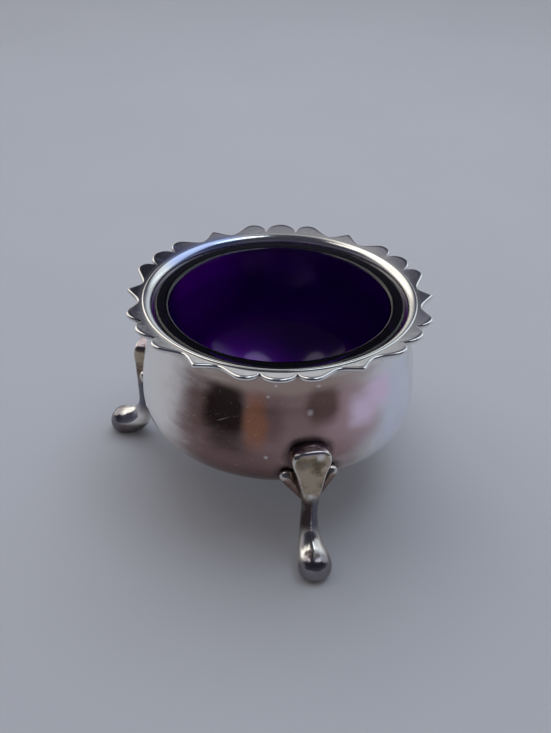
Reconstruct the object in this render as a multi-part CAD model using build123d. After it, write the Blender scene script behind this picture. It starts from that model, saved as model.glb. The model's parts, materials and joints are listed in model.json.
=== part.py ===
from build123d import *
import os
from math import asin, atan2, cos, degrees, hypot, radians, sin, sqrt, tan

# A three-legged salt cellar. A spun silver bowl stands on three cast legs and carries a
# scalloped border on its lip, and a loose round-bottomed glass liner drops into it.
# Millimetres. The pieces are made round the bowl's axis as Z, with the table top at z = 0 and
# the front at -Y, and then moved together so that the origin is under the middle of their box.

FRONT = -90.0              # direction of the front in plan, degrees from +X

# Glass liner
LINER_RADIUS = 26.1        # outside, at the mouth
LINER_HEIGHT = 32.0        # from its ground base to the top of its rim
LINER_WALL = 3.1
LINER_DRAFT = 0.8          # how much narrower the side is at its foot than at the mouth
LINER_CROWN = 30.0         # radius of the rounded bottom
LINER_BEND = 9.0           # radius where the bottom turns up into the side
LINER_BASE = 7.0           # radius of the flat ground under the bottom
LINER_OUTER_ROUND = 0.9    # rounding of the rim's outer edge
LINER_INNER_ROUND = 1.4    # rounding of the rim's inner edge
LINER_CLEARANCE = 0.4      # between the liner and the mouth it drops through
LINER_STANDING = 1.8       # how far its rim stands above the foot of the lip's bend

# Bowl
SHEET = 0.9                # thickness of the spun metal
BASE_HEIGHT = 9.3          # underside of the bowl above the table
BASE_FLAT = 10.0           # radius of the flat in the middle of the underside
BELLY_RISE = 12.5          # from the underside up to the widest ring
BELLY_SWELL = 2.0          # how far the widest ring stands out from the neck
BELLY_BEND = 8.0           # radius of the turn below the widest ring
NECK_COVE = 8.0            # radius of the hollow between shoulder and neck
NECK_LENGTH = 4.1          # the upright stretch of the neck
LIP_BEND = 1.0             # radius under the lip, where the neck turns out
LIP_LEDGE = 1.0            # width of the straight lip that the border lies on

# Scalloped border
BORDER_WIDTH = 5.5         # from the mouth out to the tips of the scallops
BORDER_THICKNESS = 0.9
BORDER_FLARE = 12.0        # degrees that the border rises towards its edge
BEAD_WIDTH = 1.9           # the rounded ring along the border's inner edge
BEAD_RISE = 0.3            # how far that ring stands above the border
BEAD_SHOULDER = 0.45       # the ring's short outer side, from its crest to the border
SECTORS = 6                # each has a middle scallop, two side scallops and a point
CUSP_DEPTH = 2.7           # how deep the notches beside the middle scallop are cut in
HOLLOW_DEPTH = 2.6         # how deep the long hollows beside the points are cut in
POINT_DEPTH = 0.3          # how far the points stop short of the scallops' reach
SHOULDER_DEPTH = 0.45      # the far end of a side scallop, where the hollow starts
CUSP_ANGLE = 6.8           # degrees from the middle of a sector
SIDE_TIP_ANGLE = 11.2
SHOULDER_ANGLE = 15.0
HOLLOW_ANGLE = 22.5

# Legs
LEGS = {"leg_front": 12.3, "leg_left": -105.0, "leg_back": 132.5}    # degrees from the front
KNUCKLE_RISE = 5.6         # top of the knuckle above the widest ring
KNUCKLE_CAP = 2.4          # height of its rounded top
KNUCKLE_DROP = 7.3         # where its taper ends on the shank, below the widest ring
KNUCKLE_PROUD = 3.0        # how far its face stands out from the widest ring
KNUCKLE_WIDTH = 8.0
KNUCKLE_ROUND = 0.6        # corner radius as a share of the most that fits
FACE_CUT = 1.2             # how much the flat face takes off the knuckle's front
FACE_LEAN = 4.5            # degrees that the flat face leans out towards the foot
SHANK_WIDTH = 3.4
SHANK_DEPTH = 3.3
SHANK_SETBACK = 0.2        # how far the shank's front stands behind the flat face
ANKLE_HEIGHT = 9.6         # where the shank starts to turn out into the foot
FOOT_REACH = 11.6          # from the widest ring out to the toe
FOOT_WIDTH = 6.8
FOOT_HEIGHT = 5.6
FOOT_ROUND = 0.95          # corner radius as a share of the most that fits
TOE_CAP = 3.0              # length of the rounded toe
SOLE_CUT = 0.7             # how much the flat sole takes off the rounded foot
EAR_SPREAD = 4.4           # from the leg's middle out to the middle of an ear
EAR_DROP = 2.2             # middle of an ear below the widest ring
EAR_FALL = 4.6             # height that an ear runs down before it meets the shank
EAR_RADIUS = 1.5
EAR_TAIL = 0.9             # radius where the ear runs out on the shank
CAP_SHARES = (0.05, 0.25, 0.6, 1.0)     # where a rounded end has its sections
TAPER_SHARES = (0.3, 0.65, 1.0)         # where the knuckle's taper has its sections
FOOT_ANGLES = (0, 30, 60, 90)           # degrees round the turn from shank to foot


def polar(radius, angle):
    """A point in plan, the angle in degrees from +X."""
    return (radius * cos(radians(angle)), radius * sin(radians(angle)))


def toward(start, end):
    """The unit vector from one section point to another."""
    length = hypot(end[0] - start[0], end[1] - start[1])
    return ((end[0] - start[0]) / length, (end[1] - start[1]) / length)


def along(start, direction, distance):
    """A section point a distance away in a given direction."""
    return (start[0] + distance * direction[0], start[1] + distance * direction[1])


def turned(section):
    """Spin a section of radii and heights about the bowl's axis."""
    return revolve(Plane.XZ * section, Axis.Z)


def rounded(section, corner, radius):
    """Round off one corner of a section."""
    return fillet(section.vertices().sort_by_distance(corner)[0], radius)


# Radii and heights that the pieces share
mouth = LINER_RADIUS + LINER_CLEARANCE
neck = mouth + SHEET
belly = neck + BELLY_SWELL
rim = mouth + BORDER_WIDTH
floor_height = BASE_HEIGHT + SHEET
belly_height = BASE_HEIGHT + BELLY_RISE
lip_height = floor_height + LINER_HEIGHT - LINER_STANDING
neck_height = lip_height - NECK_LENGTH
neck_rise = neck_height - belly_height
knuckle_top = belly_height + KNUCKLE_RISE
waist = belly_height - KNUCKLE_DROP
face_foot = belly + KNUCKLE_PROUD + (knuckle_top - KNUCKLE_CAP - waist) * tan(radians(FACE_LEAN))
shank = face_foot - SHANK_SETBACK - SHANK_DEPTH / 2
flare_out = (cos(radians(BORDER_FLARE)), sin(radians(BORDER_FLARE)))
flare_up = (-flare_out[1], flare_out[0])

# Centres and radii of the bowl's outside curves, each tangent to the next
belly_centre = (belly - BELLY_BEND, belly_height)
base_run = belly_centre[0] - BASE_FLAT
base_radius = (base_run**2 + BELLY_RISE**2 - BELLY_BEND**2) / (2 * (BELLY_RISE - BELLY_BEND))
base_centre = (BASE_FLAT, BASE_HEIGHT + base_radius)
cove_centre = (neck + NECK_COVE, neck_height)
shoulder_radius = ((BELLY_SWELL - NECK_COVE) ** 2 + neck_rise**2 - NECK_COVE**2) / (2 * BELLY_SWELL)
shoulder_centre = (belly - shoulder_radius, belly_height)
lip_centre = (neck + LIP_BEND, lip_height)


def bowl_curve(inset):
    """The bowl's section from its axis to the end of its lip, set in from the outside."""
    base_edge = (BASE_FLAT, BASE_HEIGHT + inset)
    base_end = along(base_centre, toward(base_centre, belly_centre), base_radius - inset)
    widest = (belly - inset, belly_height)
    shoulder_end = along(shoulder_centre, toward(shoulder_centre, cove_centre), shoulder_radius - inset)
    neck_foot = (neck - inset, neck_height)
    neck_top = (neck - inset, lip_height)
    lip_start = along(lip_centre, flare_up, LIP_BEND + inset)
    lip_end = along(lip_start, flare_out, LIP_LEDGE)
    base = Line((0, base_edge[1]), base_edge)
    lower = TangentArc(base_edge, base_end, tangent=(1, 0))
    turn = TangentArc(base_end, widest, tangent=lower % 1)
    shoulder = TangentArc(widest, shoulder_end, tangent=(0, 1))
    cove = TangentArc(shoulder_end, neck_foot, tangent=shoulder % 1)
    upright = Line(neck_foot, neck_top)
    bend = TangentArc(neck_top, lip_start, tangent=(0, 1))
    lip = Line(lip_start, lip_end)
    return [base, lower, turn, shoulder, cove, upright, bend, lip]


def bowl_block():
    """The room that the bowl takes up, filled in to the axis, for seating the legs."""
    curve = bowl_curve(0)
    top = curve[-1] @ 1
    crown = Polyline(top, (0, top.Y), (0, BASE_HEIGHT))
    return turned(make_face([*curve, crown]))


def make_bowl():
    outside = bowl_curve(0)
    inside = bowl_curve(SHEET)
    lip_edge = Line(outside[-1] @ 1, inside[-1] @ 1)
    axis_edge = Line(outside[0] @ 0, inside[0] @ 0)
    return turned(make_face([*outside, lip_edge, *inside, axis_edge]))


def cup_section(side_foot, mouth_radius, crown, bend, base_radius, bottom, top):
    """Half section of a round-bottomed cup, filled to its axis."""
    crown_height = bottom + sqrt(crown**2 - base_radius**2)
    corner = (side_foot, crown_height - sqrt(crown**2 - side_foot**2))
    base_edge = (base_radius, bottom)
    outline = [RadiusArc(base_edge, corner, -crown)]
    outline.append(Polyline(corner, (mouth_radius, top), (0, top), (0, bottom)))
    if base_radius > 0:
        outline.append(Line((0, bottom), base_edge))
    return rounded(make_face(outline), corner, bend)


def make_liner():
    side_foot = LINER_RADIUS - LINER_DRAFT
    top = floor_height + LINER_HEIGHT
    outer = cup_section(side_foot, LINER_RADIUS, LINER_CROWN, LINER_BEND, LINER_BASE, floor_height, top)
    crown_bottom = floor_height + sqrt(LINER_CROWN**2 - LINER_BASE**2) - LINER_CROWN
    inner = cup_section(
        side_foot - LINER_WALL, LINER_RADIUS - LINER_WALL, LINER_CROWN - LINER_WALL,
        LINER_BEND - LINER_WALL, 0, crown_bottom + LINER_WALL, top)
    wall = rounded(outer - inner, (LINER_RADIUS, top), LINER_OUTER_ROUND)
    wall = rounded(wall, (LINER_RADIUS - LINER_WALL, top), LINER_INNER_ROUND)
    return turned(wall)


def on_border(radius, lift):
    """A section point at a radius, lifted square off the border's underside."""
    seat = along(lip_centre, flare_up, LIP_BEND + SHEET)
    return (radius, seat[1] + (radius - seat[0]) * tan(radians(BORDER_FLARE)) + lift / flare_out[0])


def scallop_outline():
    """The border's outline in plan: six sectors, each mirrored about its middle."""
    edges = []
    half = 180 / SECTORS
    for sector in range(SECTORS):
        middle = FRONT + sector * 2 * half
        cusps = [polar(rim - CUSP_DEPTH, middle + side * CUSP_ANGLE) for side in (-1, 1)]
        edges.append(ThreePointArc(cusps[0], polar(rim, middle), cusps[1]))
        for side, cusp in zip((-1, 1), cusps):
            tip = polar(rim, middle + side * SIDE_TIP_ANGLE)
            shoulder = polar(rim - SHOULDER_DEPTH, middle + side * SHOULDER_ANGLE)
            hollow = polar(rim - HOLLOW_DEPTH, middle + side * HOLLOW_ANGLE)
            point = polar(rim - POINT_DEPTH, middle + side * half)
            scallop = ThreePointArc(cusp, tip, shoulder)
            edges.append(scallop)
            rise = Vector(*point) - Vector(*hollow)
            edges.append(Spline(shoulder, hollow, point, tangents=[scallop % 1, rise]))
    return make_face(edges)


def make_border():
    bead_foot = on_border(mouth + BEAD_WIDTH, BORDER_THICKNESS)
    crest = on_border(mouth + BEAD_WIDTH - BEAD_SHOULDER, BORDER_THICKNESS + BEAD_RISE)
    nose = on_border(mouth, 0)
    stock = rim + BORDER_THICKNESS
    outer_low = on_border(stock, 0)
    outer_high = on_border(stock, BORDER_THICKNESS)
    shoulder = TangentArc(crest, bead_foot, tangent=flare_out)
    slope = Spline(nose, crest, tangents=[(0, 1), flare_out])
    flange = Polyline(nose, outer_low, outer_high, bead_foot)
    ring = turned(make_face([slope, shoulder, flange]))
    blank = extrude(scallop_outline(), amount=2 * lip_height)
    return ring & blank


def leg_section(radius, height, lean, width, depth, roundness):
    """A rounded section across a leg that stands along +X.

    The lean is how far the leg's run has turned from straight down to straight out.
    """
    run = (sin(radians(lean)), 0, -cos(radians(lean)))
    plane = Plane(origin=(radius, 0, height), x_dir=(0, 1, 0), z_dir=run)
    return plane * RectangleRounded(width, depth, roundness * min(width, depth) / 2)


def cap_size(share):
    """How wide a rounded end is, a share of its length in from the very end."""
    return sqrt(1 - (1 - share) ** 2)


def leg_core():
    """Knuckle, shank and foot as one loft from the top of the knuckle to the toe."""
    knuckle_depth = 2 * (KNUCKLE_PROUD + FACE_CUT)
    foot_middle = (FOOT_HEIGHT - SOLE_CUT) / 2
    foot_depth = FOOT_HEIGHT + SOLE_CUT
    foot_run = belly + FOOT_REACH - TOE_CAP - shank
    foot_drop = ANKLE_HEIGHT - foot_middle
    sections = []
    for share in CAP_SHARES:
        size = cap_size(share)
        height = knuckle_top - share * KNUCKLE_CAP
        width, depth = size * KNUCKLE_WIDTH, size * knuckle_depth
        sections.append(leg_section(belly, height, 0, width, depth, KNUCKLE_ROUND))
    for share in TAPER_SHARES:
        centre = belly + share * (shank - belly)
        height = knuckle_top - KNUCKLE_CAP + share * (waist - knuckle_top + KNUCKLE_CAP)
        width = KNUCKLE_WIDTH + share * (SHANK_WIDTH - KNUCKLE_WIDTH)
        depth = knuckle_depth + share * (SHANK_DEPTH - knuckle_depth)
        sections.append(leg_section(centre, height, 0, width, depth, KNUCKLE_ROUND))
    for angle in FOOT_ANGLES:
        out, down = 1 - cos(radians(angle)), 1 - sin(radians(angle))
        lean = degrees(atan2(foot_run * sin(radians(angle)), foot_drop * cos(radians(angle))))
        swell = sin(radians(angle)) ** 2
        width = SHANK_WIDTH + swell * (FOOT_WIDTH - SHANK_WIDTH)
        depth = SHANK_DEPTH + swell * (foot_depth - SHANK_DEPTH)
        centre, height = shank + foot_run * out, foot_middle + foot_drop * down
        sections.append(leg_section(centre, height, lean, width, depth, FOOT_ROUND))
    for share in reversed(CAP_SHARES[:-1]):
        size = cap_size(share)
        centre = belly + FOOT_REACH - share * TOE_CAP
        sections.append(leg_section(centre, foot_middle, 90, size * FOOT_WIDTH, size * foot_depth, FOOT_ROUND))
    return loft(sections)


def ear(side):
    """One of the two lobes that spread the knuckle on the bowl and run down into the shank."""
    start = Vector(belly, side * EAR_SPREAD, belly_height - EAR_DROP)
    end = Vector(shank, side * (SHANK_WIDTH / 2 - EAR_TAIL), start.Z - EAR_FALL)
    length = (end - start).length
    slope = asin((EAR_RADIUS - EAR_TAIL) / length)
    side_start = (EAR_RADIUS * sin(slope), EAR_RADIUS * cos(slope))
    side_end = (length + EAR_TAIL * sin(slope), EAR_TAIL * cos(slope))
    head = RadiusArc((-EAR_RADIUS, 0), side_start, EAR_RADIUS)
    tail = RadiusArc(side_end, (length + EAR_TAIL, 0), EAR_TAIL)
    flank = Line(side_start, side_end)
    middle = Line((length + EAR_TAIL, 0), (-EAR_RADIUS, 0))
    lobe = revolve(make_face([head, flank, tail, middle]), Axis.X)
    return Plane(origin=start, x_dir=end - start, z_dir=(end - start).cross(Vector(1, 0, 0))) * lobe


def front_waste():
    """What is filed off the knuckle to leave its flat teardrop face."""
    height = knuckle_top - waist
    waste = Box(2 * FACE_CUT, KNUCKLE_WIDTH, height, align=(Align.MIN, Align.CENTER, Align.MIN))
    return Pos(face_foot, 0, waist) * Rot(0, -FACE_LEAN, 0) * waste


def make_leg(angle):
    """A cast leg, fitted to the outside of the bowl and cut flat where it stands."""
    leg = leg_core() - front_waste() + ear(-1) + ear(1) - bowl_block()
    leg = split(leg, bisect_by=Plane.XY, keep=Keep.TOP)
    return Rot(0, 0, angle) * leg


if __name__ == "__main__":
    os.makedirs("parts", exist_ok=True)
    pieces = {"bowl": make_bowl(), "rim_border": make_border(), "glass_liner": make_liner()}
    for name, turn in LEGS.items():
        pieces[name] = make_leg(FRONT + turn)
    middle = Compound(list(pieces.values())).bounding_box().center()
    for name, piece in pieces.items():
        export_step(Pos(-middle.X, -middle.Y, 0) * piece, f"parts/{name}.step")
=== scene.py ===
# %% [markdown]
# # A silver salt cellar with a blue glass liner
#
# An open salt is a small bowl for table salt. This one is a bowl of spun silver on three cast legs. A scalloped
# border is soldered to its lip, and a liner of cobalt glass drops in loose, because salt eats silver.
#
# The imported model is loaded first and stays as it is. It says where each piece lies and how it moves. Every step
# below then makes the piece that is seen in its place, and the steps near the end give it its finish.

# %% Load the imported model
import json
import math
from cmath import rect

import bmesh
import bpy
from mathutils import Matrix, Vector, noise
from mathutils.bvhtree import BVHTree


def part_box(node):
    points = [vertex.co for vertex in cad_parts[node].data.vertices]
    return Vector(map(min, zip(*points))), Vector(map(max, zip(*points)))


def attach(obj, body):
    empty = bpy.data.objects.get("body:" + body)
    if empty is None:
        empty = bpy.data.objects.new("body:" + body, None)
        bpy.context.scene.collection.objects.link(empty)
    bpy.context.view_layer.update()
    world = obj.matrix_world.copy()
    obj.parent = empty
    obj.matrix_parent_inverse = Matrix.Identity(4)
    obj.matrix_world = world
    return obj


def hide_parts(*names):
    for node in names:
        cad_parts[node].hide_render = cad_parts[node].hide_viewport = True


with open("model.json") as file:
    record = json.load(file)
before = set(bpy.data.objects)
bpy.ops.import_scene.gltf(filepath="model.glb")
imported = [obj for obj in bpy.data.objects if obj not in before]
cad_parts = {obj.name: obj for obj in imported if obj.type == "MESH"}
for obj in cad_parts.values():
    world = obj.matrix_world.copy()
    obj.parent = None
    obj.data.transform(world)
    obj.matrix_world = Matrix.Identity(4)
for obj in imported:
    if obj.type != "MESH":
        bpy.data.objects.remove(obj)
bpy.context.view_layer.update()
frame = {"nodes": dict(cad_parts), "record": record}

print("nodes:", ", ".join(frame["nodes"]))

# %% [markdown]
# ## Measuring the frame
#
# The sizes below are in millimetres, as a maker would write them, and the scene is in metres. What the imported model
# already knows is read from its boxes instead of written again: where the bowl's axis stands, how wide the belly is
# and how high each piece starts and ends. Only the sizes that no box shows are named here.

# %% Measure the frame
MM = 0.001
FRONT = -90.0            # direction of the front in plan, degrees from +X


def node_box(name):
    """Lowest and highest corner of a node, in millimetres."""
    return [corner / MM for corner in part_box(name)]


bowl_low, bowl_high = node_box("bowl")
border_low, border_high = node_box("rim_border")
liner_low, liner_high = node_box("glass_liner")
axis = Vector(((bowl_low.x + bowl_high.x) / 2, (bowl_low.y + bowl_high.y) / 2, 0))
belly = (bowl_high.x - bowl_low.x) / 2
rim = (border_high.y - border_low.y) / 2
liner_radius = (liner_high.x - liner_low.x) / 2
print(f"axis at {axis.x:.2f}, {axis.y:.2f}; belly {belly:.2f}, rim {rim:.2f}, liner {liner_radius:.2f} mm")

# %% [markdown]
# ## A pen for turned pieces
#
# The bowl, the border and the liner are all round: on the real object the bowl is spun on a lathe, the border is
# turned before its edge is cut, and the liner is pressed in a round mould. A spun shape needs only half of its
# section, so the helper below is a pen in the plane of radius and height. It runs straight by extruding a vertex,
# or swings round a centre with a spin, which gives true arcs with no table of points. A last spin about the bowl's
# axis turns the section into a solid.

# %% A pen that draws half sections
STEP = 0.6               # length of one straight piece of a drawn curve


class Section:
    """Half of a turned piece's section, drawn as a line of vertices."""

    def __init__(self, radius, height):
        self.bm = bmesh.new()
        self.start = self.bm.verts.new((radius, 0, height))
        self.tip = self.start

    def line(self, radius, height):
        """Draw straight to a point."""
        begin, end = self.tip.co.copy(), Vector((radius, 0, height))
        parts = max(1, round((end - begin).length / STEP))
        for part in range(1, parts + 1):
            self.tip = bmesh.ops.extrude_vert_indiv(self.bm, verts=[self.tip])["verts"][0]
            self.tip.co = begin.lerp(end, part / parts)

    def arc(self, centre, angle):
        """Swing round a centre, the short way, until the pen stands at an angle from it."""
        middle = Vector((centre[0], 0, centre[1]))
        reach = self.tip.co - middle
        turn = math.radians(angle) - math.atan2(reach.z, reach.x)
        turn = (turn + math.pi) % math.tau - math.pi
        parts = max(3, round(abs(turn) * reach.length / STEP))
        spun = bmesh.ops.spin(self.bm, geom=[self.tip], cent=middle, axis=(0, -1, 0), angle=turn, steps=parts)
        self.tip = next(item for item in spun["geom_last"] if isinstance(item, bmesh.types.BMVert))

    def turned(self, steps):
        """Spin the section once round, close the poles and point the faces outwards."""
        whole = self.bm.verts[:] + self.bm.edges[:]
        bmesh.ops.spin(self.bm, geom=whole, cent=(0, 0, 0), axis=(0, 0, 1), angle=math.tau, steps=steps,
                       use_merge=True)
        bmesh.ops.remove_doubles(self.bm, verts=self.bm.verts, dist=MM)
        bmesh.ops.recalc_face_normals(self.bm, faces=self.bm.faces)
        return self.bm


def along(start, angle, distance):
    """A section point a distance away, the angle in degrees up from straight out."""
    return (start[0] + distance * math.cos(math.radians(angle)), start[1] + distance * math.sin(math.radians(angle)))


def direction(start, end):
    """The angle from one section point to another, in degrees up from straight out."""
    return math.degrees(math.atan2(end[1] - start[1], end[0] - start[0]))


def add_piece(bm, name, node, body, crease=40):
    """Turn a bmesh drawn in millimetres round the bowl's axis into a piece that replaces a node."""
    bmesh.ops.translate(bm, verts=bm.verts, vec=axis)
    bmesh.ops.scale(bm, verts=bm.verts, vec=(MM, MM, MM))
    mesh = bpy.data.meshes.new(name)
    bm.to_mesh(mesh)
    bm.free()
    mesh.shade_smooth()
    mesh.set_sharp_from_angle(angle=math.radians(crease))
    piece = bpy.data.objects.new(name, mesh)
    bpy.context.scene.collection.objects.link(piece)
    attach(piece, body)
    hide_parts(node)
    print(f"{name}: {len(mesh.vertices)} vertices for {node}")
    return piece


# %% [markdown]
# ## The bowl
#
# A flat disc of sheet silver is pressed over a turning form until it has a flat middle, a round belly, a neck and a
# lip that turns out. The outside is a chain of arcs, each tangent to the next, so the centre of each arc lies on the
# line through the centre of its neighbour. The inside runs back over the same centres, one sheet's thickness in, and
# that closes the section. Sheet that was worked by hand is never quite round, so a slow noise then moves the wall in
# and out by a few hundredths of a millimetre, and reflections swim over it as they do on old silver.

# %% Bowl sizes
SHEET = 0.9              # thickness of the metal
BASE_FLAT = 10.0         # radius of the flat in the middle of the underside
BELLY_RISE = 12.5        # from the underside up to the widest ring
BELLY_SWELL = 2.0        # how far the widest ring stands out from the neck
BELLY_BEND = 8.0         # radius of the turn below the widest ring
NECK_COVE = 8.0          # radius of the hollow between shoulder and neck
NECK_LENGTH = 4.1
LINER_STANDING = 1.8     # the liner's rim above the foot of the lip's bend
LIP_BEND = 1.0
LIP_LEDGE = 1.0
FLARE = 12.0             # degrees that lip and border rise towards the edge
BOWL_STEPS = 288
DENT_DEPTH = 0.035       # how far the hand-worked wall wanders
DENT_SPACING = 11.0

base_height = bowl_low.z
neck = belly - BELLY_SWELL
mouth = neck - SHEET
belly_height = base_height + BELLY_RISE
lip_height = liner_high.z - LINER_STANDING
neck_height = lip_height - NECK_LENGTH
belly_centre = (belly - BELLY_BEND, belly_height)
base_run = belly_centre[0] - BASE_FLAT
base_radius = (base_run**2 + BELLY_RISE**2 - BELLY_BEND**2) / (2 * (BELLY_RISE - BELLY_BEND))
base_centre = (BASE_FLAT, base_height + base_radius)
cove_centre = (neck + NECK_COVE, neck_height)
shoulder_rise = neck_height - belly_height
shoulder_radius = ((BELLY_SWELL - NECK_COVE) ** 2 + shoulder_rise**2 - NECK_COVE**2) / (2 * BELLY_SWELL)
shoulder_centre = (belly - shoulder_radius, belly_height)
lip_centre = (neck + LIP_BEND, lip_height)
base_turn = direction(base_centre, belly_centre)
shoulder_turn = direction(shoulder_centre, cove_centre)
print(f"arcs of {base_radius:.1f}, {BELLY_BEND}, {shoulder_radius:.1f} and {NECK_COVE} mm")

# %% Bowl
def bowl_section():
    """The bowl's outside from the axis to the lip, then its inside back to the axis."""
    lip_start = along(lip_centre, 90 + FLARE, LIP_BEND)
    lip_end = along(lip_start, FLARE, LIP_LEDGE)
    pen = Section(0, base_height)
    pen.line(BASE_FLAT, base_height)
    pen.arc(base_centre, base_turn)
    pen.arc(belly_centre, 0)
    pen.arc(shoulder_centre, shoulder_turn)
    pen.arc(cove_centre, 180)
    pen.line(neck, lip_height)
    pen.arc(lip_centre, 90 + FLARE)
    pen.line(*lip_end)
    pen.line(*along(lip_end, 90 + FLARE, SHEET))
    pen.line(*along(lip_centre, 90 + FLARE, LIP_BEND + SHEET))
    pen.arc(lip_centre, 180)
    pen.line(mouth, neck_height)
    pen.arc(cove_centre, 180 + shoulder_turn)
    pen.arc(shoulder_centre, 0)
    pen.arc(belly_centre, base_turn)
    pen.arc(base_centre, -90)
    pen.line(0, base_height + SHEET)
    return pen


def dent(bm, top):
    """Let the wall wander in and out a little below a height, and not at all above it."""
    for vertex in bm.verts:
        outward = Vector((vertex.co.x, vertex.co.y, 0))
        if outward.length > BASE_FLAT:
            share = min(1, max(0, (top - vertex.co.z) / NECK_LENGTH))
            vertex.co += outward.normalized() * share * DENT_DEPTH * noise.noise(vertex.co / DENT_SPACING)


bowl_form = bowl_section().turned(BOWL_STEPS)
dent(bowl_form, lip_height)
bowl = add_piece(bowl_form, "spun_bowl", "bowl", "cellar")

# %% [markdown]
# ## The scalloped border
#
# The border is a flat ring with a raised bead along its inner edge. Its outer edge is cut in six equal sectors: a
# round scallop in the middle, a smaller one on each side, and then a long hollow that climbs to a point. It could be
# a flat outline that is extruded, but then the edge would be square, and worn silver has round edges that catch the
# light. So the section, with its bead and its half-round edge, is spun first, and then the outer part of each spoke
# slides in along the flare until the edge lies on the outline. The edge keeps its roundness wherever it goes.

# %% Border sizes
BORDER_THICKNESS = 0.9
BEAD_WIDTH = 1.9
BEAD_RISE = 0.3
BEAD_SHOULDER = 0.45     # the short outer side of the bead, from its crest down to the flat
UNDERSIDE_GAP = 0.1      # keeps the bead's nose and the underside from meeting in one point
BEAD_STEPS = 12          # straight pieces in each of the bead's two curves
BORDER_STEPS = 900       # one spoke for each 0.4 degrees, so that notches and points fall on spokes
SECTORS = 6
CUSP_DEPTH = 2.7         # notches beside the middle scallop
HOLLOW_DEPTH = 2.6       # long hollows beside the points
POINT_DEPTH = 0.3
SHOULDER_DEPTH = 0.45    # far end of a side scallop
CUSP_ANGLE = 6.8         # degrees from the middle of a sector
SIDE_TIP_ANGLE = 11.2
SHOULDER_ANGLE = 15.0
HOLLOW_ANGLE = 22.5
SLOPE_STEP = 0.1         # degrees over which a slope is measured

half_sector = 180 / SECTORS
seat = along(lip_centre, 90 + FLARE, LIP_BEND + SHEET)
flare_slope = math.tan(math.radians(FLARE))
edge_radius = BORDER_THICKNESS / 2


def on_border(radius, lift):
    """A section point at a radius, lifted square off the border's underside."""
    return (radius, seat[1] + (radius - seat[0]) * flare_slope + lift / math.cos(math.radians(FLARE)))


# %% Border outline
def in_plan(depth, angle):
    """A point of the outline as a complex number, cut in from the rim."""
    return rect(rim - depth, math.radians(angle))


def circle_through(first, second, third):
    """Centre and radius of the circle through three points in plan."""
    turn = (third - first) / (second - first)
    centre = first + (second - first) * (turn - abs(turn) ** 2) / (2j * turn.imag)
    return centre, abs(first - centre)


def reach_of(circle, angle):
    """How far a ray from the axis runs before it leaves a circle."""
    centre, radius = circle
    ray = rect(1, math.radians(angle))
    ahead = (centre * ray.conjugate()).real
    return ahead + math.sqrt(radius**2 - abs(centre) ** 2 + ahead**2)


def hollow_reach(share, begin, end, begin_slope, end_slope):
    """A cubic from one reach to another, with its slopes at both ends."""
    return (
        begin * (1 + 2 * share) * (1 - share) ** 2 + end * (3 - 2 * share) * share**2
        + begin_slope * share * (1 - share) ** 2 - end_slope * (1 - share) * share**2)


cusp = in_plan(CUSP_DEPTH, CUSP_ANGLE)
middle_scallop = circle_through(cusp.conjugate(), in_plan(0, 0), cusp)
side_scallop = circle_through(cusp, in_plan(0, SIDE_TIP_ANGLE), in_plan(SHOULDER_DEPTH, SHOULDER_ANGLE))


def edge_reach(angle):
    """Radius of the border's edge at an angle in plan."""
    offset = abs((angle - FRONT + half_sector) % (2 * half_sector) - half_sector)
    if offset <= CUSP_ANGLE:
        return reach_of(middle_scallop, offset)
    if offset <= SHOULDER_ANGLE:
        return reach_of(side_scallop, offset)
    hollow, span = rim - HOLLOW_DEPTH, HOLLOW_ANGLE - SHOULDER_ANGLE
    if offset <= HOLLOW_ANGLE:
        before, here = (reach_of(side_scallop, SHOULDER_ANGLE - back) for back in (SLOPE_STEP, 0))
        fall = (here - before) / SLOPE_STEP
        return hollow_reach((offset - SHOULDER_ANGLE) / span, rim - SHOULDER_DEPTH, hollow, fall * span, 0)
    climb = HOLLOW_DEPTH - POINT_DEPTH
    return hollow_reach((offset - HOLLOW_ANGLE) / (half_sector - HOLLOW_ANGLE), hollow, hollow + climb, 0, climb)


reaches = [edge_reach(angle) for angle in range(360)]
print(f"edge from {min(reaches):.2f} to {max(reaches):.2f} mm")

# %% Border
def border_section():
    """Underside, half-round edge, top and bead."""
    edge_centre = on_border(rim - edge_radius, edge_radius)
    pen = Section(*on_border(mouth + UNDERSIDE_GAP, 0))
    pen.line(*on_border(rim - edge_radius, 0))
    pen.arc(edge_centre, FLARE)
    pen.arc(edge_centre, 90 + FLARE)
    pen.line(*on_border(mouth + BEAD_WIDTH, BORDER_THICKNESS))
    crest, slope_width = mouth + BEAD_WIDTH - BEAD_SHOULDER, BEAD_WIDTH - BEAD_SHOULDER
    for step in range(1, 2 * BEAD_STEPS + 1):
        turn = math.pi / 2 * step / BEAD_STEPS
        outside = step < BEAD_STEPS
        width, foot = (BEAD_SHOULDER, BORDER_THICKNESS) if outside else (slope_width, 0)
        rise = BORDER_THICKNESS + BEAD_RISE - foot
        pen.line(*on_border(crest + width * math.cos(turn), foot + rise * math.sin(turn)))
    pen.bm.edges.new((pen.tip, pen.start))
    return pen


def cut_scallops(bm):
    """Slide the outer part of every spoke in along the flare, down to the outline."""
    bead_edge, edge_start = mouth + BEAD_WIDTH, rim - edge_radius
    for vertex in bm.verts:
        radius = math.hypot(vertex.co.x, vertex.co.y)
        share = min(1, max(0, (radius - bead_edge) / (edge_start - bead_edge)))
        angle = math.degrees(math.atan2(vertex.co.y, vertex.co.x))
        slide = share * (edge_reach(angle) - rim)
        vertex.co.x *= (radius + slide) / radius
        vertex.co.y *= (radius + slide) / radius
        vertex.co.z += slide * flare_slope


border_form = border_section().turned(BORDER_STEPS)
cut_scallops(border_form)
border = add_piece(border_form, "scalloped_border", "rim_border", "cellar")

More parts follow.
